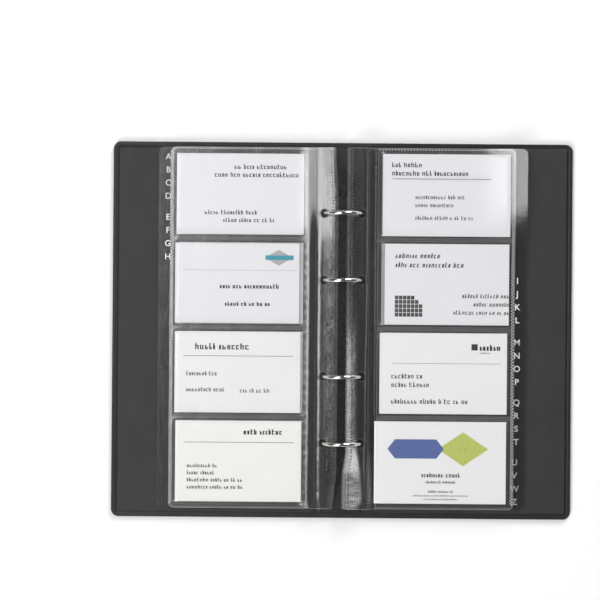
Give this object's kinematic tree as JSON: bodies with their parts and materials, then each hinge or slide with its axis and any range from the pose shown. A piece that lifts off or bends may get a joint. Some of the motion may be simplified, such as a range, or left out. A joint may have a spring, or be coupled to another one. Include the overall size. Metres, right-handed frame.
{
  "type": "business card album",
  "caption": "Soft-covered ring album lying open on its back, with clear business card pockets and lettered index dividers.",
  "frame": {"origin": "on the table under the middle of the spine, at the centre of the open album's outline", "axes": "+X across both pages to the right, +Y up the page, +Z away from the table"},
  "size_m": [0.311, 0.254, 0.0296],
  "materials": {
    "leatherette": "fine leather grain embossed in soft PVC, satin",
    "foam": "open-cell padding",
    "board": "grey board",
    "rail": "smooth black nickel",
    "plate_steel": "plain plated steel",
    "ring_nickel": "bright nickel wire",
    "divider_film": "clear film with printed letters",
    "clear_film": "clear soft film, slightly cloudy",
    "card": "uncoated white card"
  },
  "bodies": {
    "spine": {"spine_skin": "leatherette", "spine_board": "board", "spine_liner": "leatherette", "ring_rail": "rail", "rail_rivets": "plate_steel"},
    "front_cover": {"front_cover_skin": "leatherette", "front_cover_foam": "foam", "front_cover_board": "board", "front_cover_liner": "leatherette"},
    "back_cover": {"back_cover_skin": "leatherette", "back_cover_foam": "foam", "back_cover_board": "board", "back_cover_liner": "leatherette"},
    "left_rings": {"left_toggle_plate": "plate_steel", "left_half_ring_1": "ring_nickel", "left_half_ring_2": "ring_nickel", "left_half_ring_3": "ring_nickel", "left_half_ring_4": "ring_nickel"},
    "right_rings": {"right_toggle_plate": "plate_steel", "right_half_ring_1": "ring_nickel", "right_half_ring_2": "ring_nickel", "right_half_ring_3": "ring_nickel", "right_half_ring_4": "ring_nickel"},
    "left_pages": {"left_divider_1": "divider_film", "left_divider_2": "divider_film", "left_pocket_sheet_2": "clear_film", "left_pocket_sheet_3": "clear_film", "left_stack_cards_2": "card", "left_stack_cards_3": "card"},
    "right_pages": {"right_divider_1": "divider_film", "right_divider_2": "divider_film", "right_divider_3": "divider_film", "right_divider_4": "divider_film", "right_pocket_sheet_2": "clear_film", "right_pocket_sheet_3": "clear_film", "right_stack_cards_2": "card", "right_stack_cards_3": "card"},
    "left_top_strip": {"left_top_binding_strip": "clear_film"},
    "left_top_page": {"left_top_pocket_panel": "clear_film"},
    "left_card_1": {"left_card_1": "card"},
    "left_card_2": {"left_card_2": "card"},
    "left_card_3": {"left_card_3": "card"},
    "left_card_4": {"left_card_4": "card"},
    "right_top_strip": {"right_top_binding_strip": "clear_film"},
    "right_top_page": {"right_top_pocket_panel": "clear_film"},
    "right_card_1": {"right_card_1": "card"},
    "right_card_2": {"right_card_2": "card"},
    "right_card_3": {"right_card_3": "card"},
    "right_card_4": {"right_card_4": "card"}
  },
  "joints": [
    {"name": "back_cover_hinge", "type": "hinge", "parent": "spine", "child": "back_cover", "pos_m": [0.0155, 0, 0.0015], "axis": [0, -1, 0], "range_deg": [0, 90]},
    {"name": "front_cover_hinge", "type": "hinge", "parent": "spine", "child": "front_cover", "pos_m": [-0.0155, 0, 0.0015], "axis": [0, 1, 0], "range_deg": [0, 90]},
    {"name": "right_rings_open", "type": "hinge", "parent": "spine", "child": "right_rings", "pos_m": [0.0096, 0, 0.0054], "axis": [0, -1, 0], "range_deg": [-15, 0]},
    {"name": "left_rings_open", "type": "hinge", "parent": "spine", "child": "left_rings", "pos_m": [-0.0096, 0, 0.0054], "axis": [0, 1, 0], "range_deg": [-15, 0]},
    {"name": "right_pages_swing", "type": "hinge", "parent": "spine", "child": "right_pages", "pos_m": [0, 0, 0.016], "axis": [0, -1, 0], "range_deg": [0, 90]},
    {"name": "left_pages_swing", "type": "hinge", "parent": "spine", "child": "left_pages", "pos_m": [0, 0, 0.016], "axis": [0, 1, 0], "range_deg": [0, 90]},
    {"name": "right_top_page_turn", "type": "hinge", "parent": "right_pages", "child": "right_top_strip", "pos_m": [0, 0, 0.016], "axis": [0, 1, 0], "range_deg": [-220.87, 0]},
    {"name": "right_top_page_fold", "type": "hinge", "parent": "right_top_strip", "child": "right_top_page", "pos_m": [0.021, 0, 0.00755], "axis": [0, 1, 0], "range_deg": [0, 40.87]},
    {"name": "right_card_1_slide", "type": "slide", "parent": "right_top_page", "child": "right_card_1", "axis": [1, 0, 0], "range_m": [-0.0058, 0.0009]},
    {"name": "right_card_2_slide", "type": "slide", "parent": "right_top_page", "child": "right_card_2", "axis": [1, 0, 0], "range_m": [-0.0074, 0.0013]},
    {"name": "right_card_3_slide", "type": "slide", "parent": "right_top_page", "child": "right_card_3", "axis": [1, 0, 0], "range_m": [-0.0044, 0.0023]},
    {"name": "right_card_4_slide", "type": "slide", "parent": "right_top_page", "child": "right_card_4", "axis": [1, 0, 0], "range_m": [-0.0012, 0.0025]},
    {"name": "left_top_page_turn", "type": "hinge", "parent": "left_pages", "child": "left_top_strip", "pos_m": [0, 0, 0.016], "axis": [0, -1, 0], "range_deg": [-220.48, 0]},
    {"name": "left_top_page_fold", "type": "hinge", "parent": "left_top_strip", "child": "left_top_page", "pos_m": [-0.021, 0, 0.00695], "axis": [0, -1, 0], "range_deg": [0, 40.49]},
    {"name": "left_card_1_slide", "type": "slide", "parent": "left_top_page", "child": "left_card_1", "axis": [-1, 0, 0], "range_m": [-0.0051, 0.0016]},
    {"name": "left_card_2_slide", "type": "slide", "parent": "left_top_page", "child": "left_card_2", "axis": [-1, 0, 0], "range_m": [-0.0078, 0.0009]},
    {"name": "left_card_3_slide", "type": "slide", "parent": "left_top_page", "child": "left_card_3", "axis": [-1, 0, 0], "range_m": [-0.0067, 0.001]},
    {"name": "left_card_4_slide", "type": "slide", "parent": "left_top_page", "child": "left_card_4", "axis": [-1, 0, 0], "range_m": [-0.0058, 0.0019]}
  ],
  "couplings": [
    {"joint": "left_rings_open", "follows": "right_rings_open", "ratio": 1},
    {"joint": "right_pages_swing", "follows": "back_cover_hinge", "ratio": 1},
    {"joint": "left_pages_swing", "follows": "front_cover_hinge", "ratio": 1},
    {"joint": "right_top_page_fold", "follows": "right_top_page_turn", "ratio": -0.18503},
    {"joint": "left_top_page_fold", "follows": "left_top_page_turn", "ratio": -0.18361}
  ]
}
